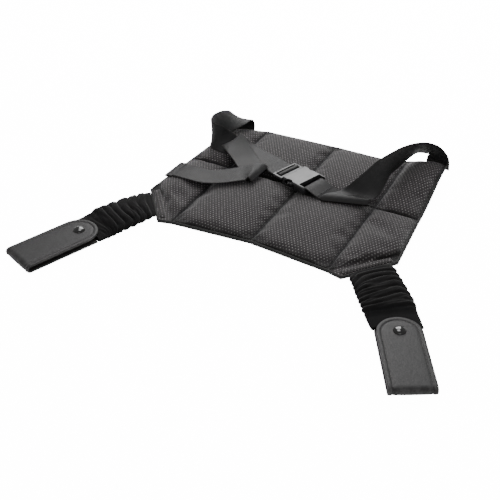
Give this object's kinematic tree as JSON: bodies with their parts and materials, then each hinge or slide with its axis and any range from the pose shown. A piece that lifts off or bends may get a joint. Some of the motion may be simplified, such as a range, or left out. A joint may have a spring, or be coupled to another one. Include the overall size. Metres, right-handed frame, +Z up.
{
  "type": "seat-belt positioner",
  "caption": "Quilted seat pad with a back strap and side-release buckle, and two elastic arms that end in snap-closed leather loops for a lap belt.",
  "frame": {"origin": "on the seat pad's underside, at the middle seam, 12 mm in front of the crossing seam", "axes": "+Z up from the seat through the pad, +X to the sitter's left across the pad, +Y towards the seat's back"},
  "size_m": [0.5891, 0.491, 0.0659],
  "materials": {
    "spacer_mesh": "quilted spacer mesh with small light dots",
    "base_cloth": "plain woven, matt",
    "binding": "woven tape",
    "foam": "open-cell foam, not seen",
    "thread": "polyester thread",
    "elastic": "knitted elastic band",
    "velour": "stretch velour, ruched",
    "snap_gloss": "gloss black enamel",
    "leather_back": "suede-like lining",
    "leather": "satin faux leather with fine grain",
    "webbing": "ribbed polyester webbing",
    "buckle_plastic": "satin moulded acetal"
  },
  "bodies": {
    "pad": {"base_fabric": "base_cloth", "mesh_cover": "spacer_mesh", "edge_binding": "binding", "seam_threads": "thread", "foam_rear_1": "foam", "foam_rear_2": "foam", "foam_rear_3": "foam", "foam_rear_4": "foam", "foam_front_1": "foam", "foam_front_2": "foam", "foam_front_3": "foam", "foam_front_4": "foam", "left_tab_band": "spacer_mesh", "right_tab_band": "spacer_mesh", "left_tab_stitches": "thread", "right_tab_stitches": "thread"},
    "left_arm": {"left_elastic": "elastic", "left_sleeve": "velour"},
    "left_flap": {"left_flap_base": "leather", "left_flap_lining": "leather_back", "left_flap_fold": "leather", "left_snap_stud": "snap_gloss", "left_snap_rivet": "snap_gloss"},
    "left_cover": {"left_cover": "leather", "left_cover_lining": "leather_back", "left_cover_stitches": "thread", "left_snap_cap": "snap_gloss", "left_snap_socket": "snap_gloss"},
    "right_arm": {"right_elastic": "elastic", "right_sleeve": "velour"},
    "right_flap": {"right_flap_base": "leather", "right_flap_lining": "leather_back", "right_flap_fold": "leather", "right_snap_stud": "snap_gloss", "right_snap_rivet": "snap_gloss"},
    "right_cover": {"right_cover": "leather", "right_cover_lining": "leather_back", "right_cover_stitches": "thread", "right_snap_cap": "snap_gloss", "right_snap_socket": "snap_gloss"},
    "back_strap": {"left_webbing": "webbing", "webbing_tail": "webbing", "tail_hem": "webbing", "right_webbing": "webbing", "box_stitch": "thread", "buckle_housing": "buckle_plastic", "buckle_frame": "buckle_plastic"},
    "front_prong": {"front_prong": "buckle_plastic"},
    "rear_prong": {"rear_prong": "buckle_plastic"}
  },
  "joints": [
    {"name": "left_arm_lift", "type": "hinge", "parent": "pad", "child": "left_arm", "pos_m": [-0.164, -0.1235, 0.005], "axis": [-0.6366, 0.7712, 0], "range_deg": [0, 100]},
    {"name": "left_arm_stretch", "type": "slide", "parent": "left_arm", "child": "left_flap", "axis": [-0.454, -0.891, 0], "range_m": [0, 0.05], "stiffness_N_per_m": 60, "deforming": ["left_sleeve", "left_elastic"]},
    {"name": "left_cover_open", "type": "hinge", "parent": "left_flap", "child": "left_cover", "pos_m": [-0.24557, -0.3213, 0.0062], "axis": [0.9336, -0.3584, 0], "range_deg": [0, 172], "deforming": ["left_flap_fold"]},
    {"name": "right_arm_lift", "type": "hinge", "parent": "pad", "child": "right_arm", "pos_m": [0.164, -0.1235, 0.005], "axis": [-0.6366, -0.7712, 0], "range_deg": [0, 100]},
    {"name": "right_arm_stretch", "type": "slide", "parent": "right_arm", "child": "right_flap", "axis": [0.6428, -0.766, 0], "range_m": [0, 0.05], "stiffness_N_per_m": 60, "deforming": ["right_sleeve", "right_elastic"]},
    {"name": "right_cover_open", "type": "hinge", "parent": "right_flap", "child": "right_cover", "pos_m": [0.28812, -0.30696, 0.0062], "axis": [0.8704, 0.4924, 0], "range_deg": [0, 172], "deforming": ["right_flap_fold"]},
    {"name": "strap_lift", "type": "hinge", "parent": "pad", "child": "back_strap", "pos_m": [0, 0.138, 0.012], "axis": [-1, 0, 0], "range_deg": [0, 95]},
    {"name": "front_prong_squeeze", "type": "hinge", "parent": "back_strap", "child": "front_prong", "pos_m": [-0.01864, 0.00403, 0.0185], "axis": [0, 0, 1], "range_deg": [0, 6], "stiffness_Nm_per_rad": 0.08},
    {"name": "rear_prong_squeeze", "type": "hinge", "parent": "back_strap", "child": "rear_prong", "pos_m": [-0.00728, 0.03522, 0.0185], "axis": [0, 0, -1], "range_deg": [0, 6], "stiffness_Nm_per_rad": 0.08}
  ]
}
